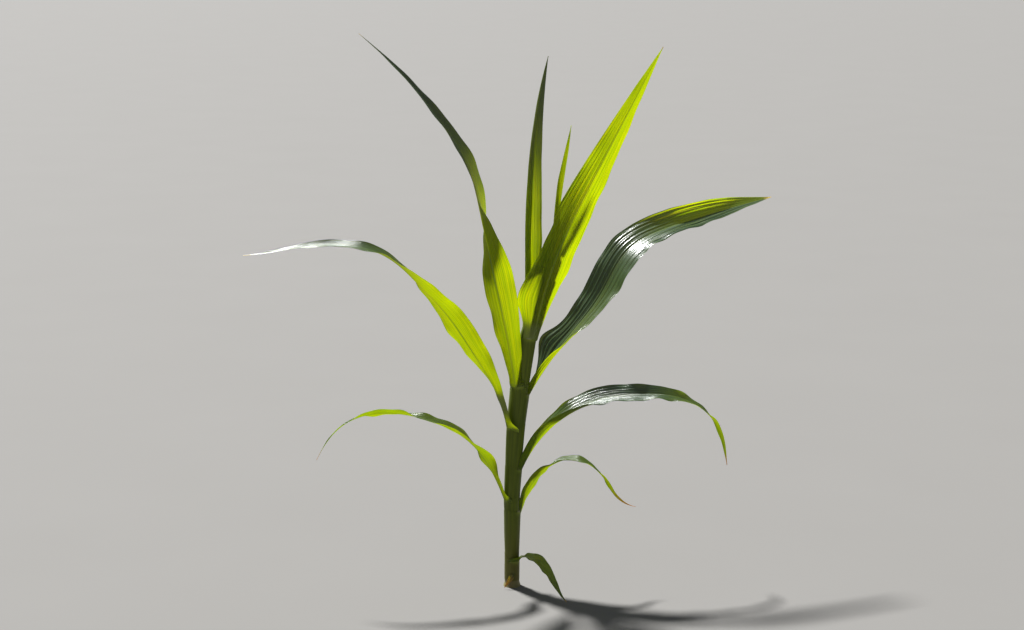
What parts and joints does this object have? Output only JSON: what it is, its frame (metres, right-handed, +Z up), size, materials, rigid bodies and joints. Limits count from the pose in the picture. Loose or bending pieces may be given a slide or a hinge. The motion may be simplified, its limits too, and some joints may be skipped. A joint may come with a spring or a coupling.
{
  "type": "young maize plant",
  "caption": "Rooted young maize plant: a leaning stalk wrapped in leaf sheaths, arching strap leaves on two sides and a rolled whorl at the top.",
  "frame": {"origin": "middle of the flat cut under the stalk, at ground level", "axes": "+Z up; the leaves spread along +X and -X, and the picture looks along +Y"},
  "size_m": [0.9399, 0.2856, 0.9607],
  "materials": {
    "culm": "fibrous olive stem, brown at the foot",
    "whorl": "rolled pale green young leaves",
    "sheath": "ribbed olive green leaf sheath, satin",
    "blade": "finely veined green leaf, waxy sheen on top, light shining through",
    "young_blade": "thin bright green young leaf, finely veined"
  },
  "bodies": {
    "root": {"culm": "culm", "whorl_core": "whorl", "leaf_1_sheath": "sheath", "leaf_1_blade": "blade", "leaf_2_sheath": "sheath", "leaf_2_blade_inner": "blade", "leaf_2_blade_outer": "blade", "leaf_3_sheath": "sheath", "leaf_3_blade_inner": "blade", "leaf_3_blade_outer": "blade", "leaf_4_sheath": "sheath", "leaf_4_blade_inner": "blade", "leaf_4_blade_outer": "blade", "leaf_5_sheath": "sheath", "leaf_5_blade_inner": "blade", "leaf_5_blade_outer": "blade", "leaf_6_sheath": "sheath", "leaf_6_blade_inner": "blade", "leaf_6_blade_outer": "blade", "leaf_7_sheath": "sheath", "leaf_7_blade": "blade", "leaf_8_sheath": "sheath", "leaf_8_blade": "blade", "leaf_9_blade": "young_blade", "leaf_10_blade": "young_blade"}
  },
  "joints": []
}
